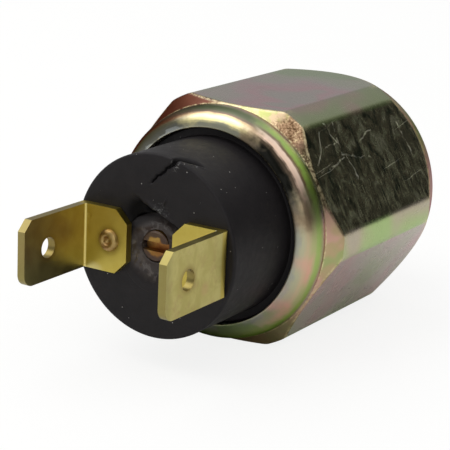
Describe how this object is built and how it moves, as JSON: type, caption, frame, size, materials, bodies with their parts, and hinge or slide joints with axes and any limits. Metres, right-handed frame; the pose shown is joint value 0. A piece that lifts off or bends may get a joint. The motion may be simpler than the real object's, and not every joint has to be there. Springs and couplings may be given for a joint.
{
  "type": "pressure switch",
  "caption": "Adjustable diaphragm pressure switch: hexagonal plated steel body with threaded pressure stud, crimped insulating head, flat tab terminals and central set screw.",
  "frame": {"origin": "centre of the annular sealing seat at the root of the threaded stud", "axes": "+Y along the threaded stud, away from the terminals; the terminals point to -Y; +Z is the outward normal of one hexagon flat, so the switch lies on the opposite flat"},
  "size_m": [0.0264, 0.0557, 0.024],
  "materials": {
    "plated_steel": "yellow-passivated zinc plating with faint rainbow tints, bright turned",
    "plain_steel": "plain turned steel",
    "spring_steel": "spring steel",
    "seal_rubber": "matt nitrile rubber",
    "black_plastic": "matt black moulded plastic",
    "terminal_brass": "dull stamped brass strip",
    "rivet_brass": "formed brass",
    "screw_brass": "turned brass",
    "contact_brass": "clean brass",
    "contact_silver": "silver contact face",
    "resin": "dark translucent sealing resin"
  },
  "bodies": {
    "housing": {"hex_body": "plated_steel", "diaphragm": "seal_rubber", "clamp_ring": "plain_steel", "plunger_guide": "plain_steel", "spacer_sleeve": "plain_steel", "head_seal": "seal_rubber", "set_spring": "spring_steel", "threaded_bush": "screw_brass", "terminal_head": "black_plastic", "sealing_resin": "resin", "terminal_right": "terminal_brass", "terminal_left": "terminal_brass", "rivet_right": "rivet_brass", "rivet_left": "rivet_brass", "contact_strip_right": "contact_brass", "contact_strip_left": "contact_brass", "contact_tip_right": "contact_silver", "contact_tip_left": "contact_silver"},
    "plunger": {"plunger": "black_plastic", "thrust_plate": "plain_steel", "contact_bridge": "contact_brass", "bridge_clip": "spring_steel"},
    "spring_feed": {"spring_seat": "plain_steel"},
    "adjuster": {"adjusting_screw": "screw_brass"}
  },
  "joints": [
    {"name": "plunger_travel", "type": "slide", "parent": "housing", "child": "plunger", "axis": [0, -1, 0], "range_m": [0, 0.001], "deforming": ["set_spring"]},
    {"name": "adjuster_feed", "type": "slide", "parent": "housing", "child": "spring_feed", "axis": [0, 1, 0], "range_m": [-0.00038, 0.00137]},
    {"name": "adjuster_turn", "type": "hinge", "parent": "spring_feed", "child": "adjuster", "pos_m": [0, -0.036, 0], "axis": [0, 1, 0], "range_deg": [-270, 990]}
  ],
  "couplings": [
    {"joint": "adjuster_turn", "follows": "adjuster_feed", "rad_per_m": 12566}
  ]
}
